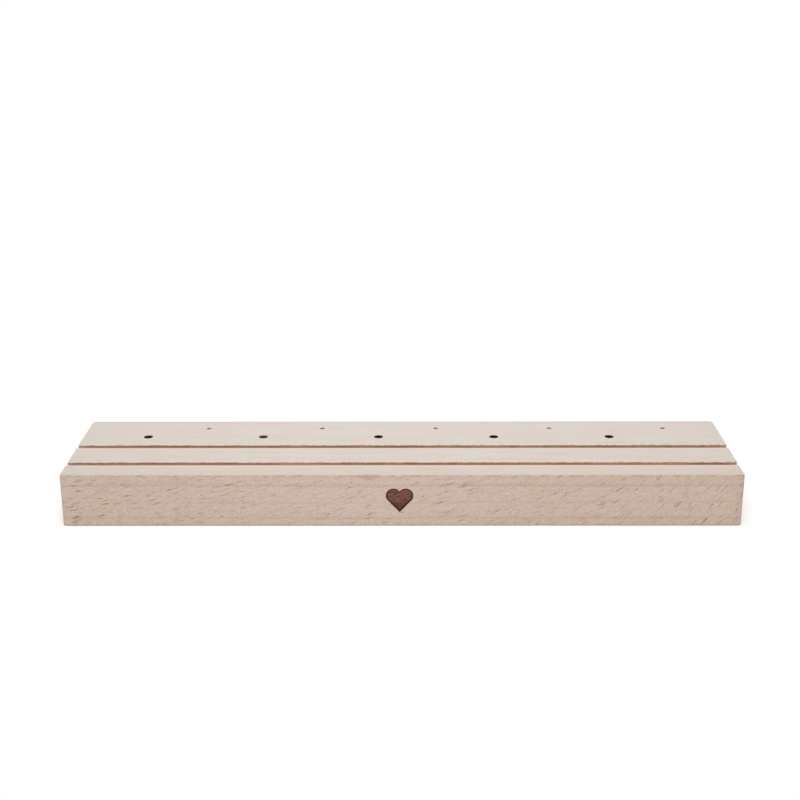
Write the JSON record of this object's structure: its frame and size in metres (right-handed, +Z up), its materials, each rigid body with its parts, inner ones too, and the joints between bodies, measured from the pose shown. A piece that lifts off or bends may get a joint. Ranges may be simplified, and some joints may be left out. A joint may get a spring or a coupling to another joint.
{
  "type": "photo block holder",
  "caption": "Flat beech bar that holds photos or cards upright in saw-cut slots along its top, with drilled stem holes behind them and a small heart burnt into its front.",
  "frame": {"origin": "middle of the flat underside that the block rests on", "axes": "+X along the bar from left to right as seen from the front, -Y towards the front face with the heart, +Z up out of the slotted top"},
  "size_m": [0.3, 0.07, 0.024],
  "materials": {
    "beech": "planed and sanded solid beech, pale and pinkish, left without a gloss finish; scorched brown in the saw cuts and dark in the drilled holes",
    "scorched_beech": "laser-charred beech, dark reddish brown and matt, with an almost black rim"
  },
  "bodies": {
    "root": {"beech_block": "beech", "heart_scorch": "scorched_beech"}
  },
  "joints": []
}
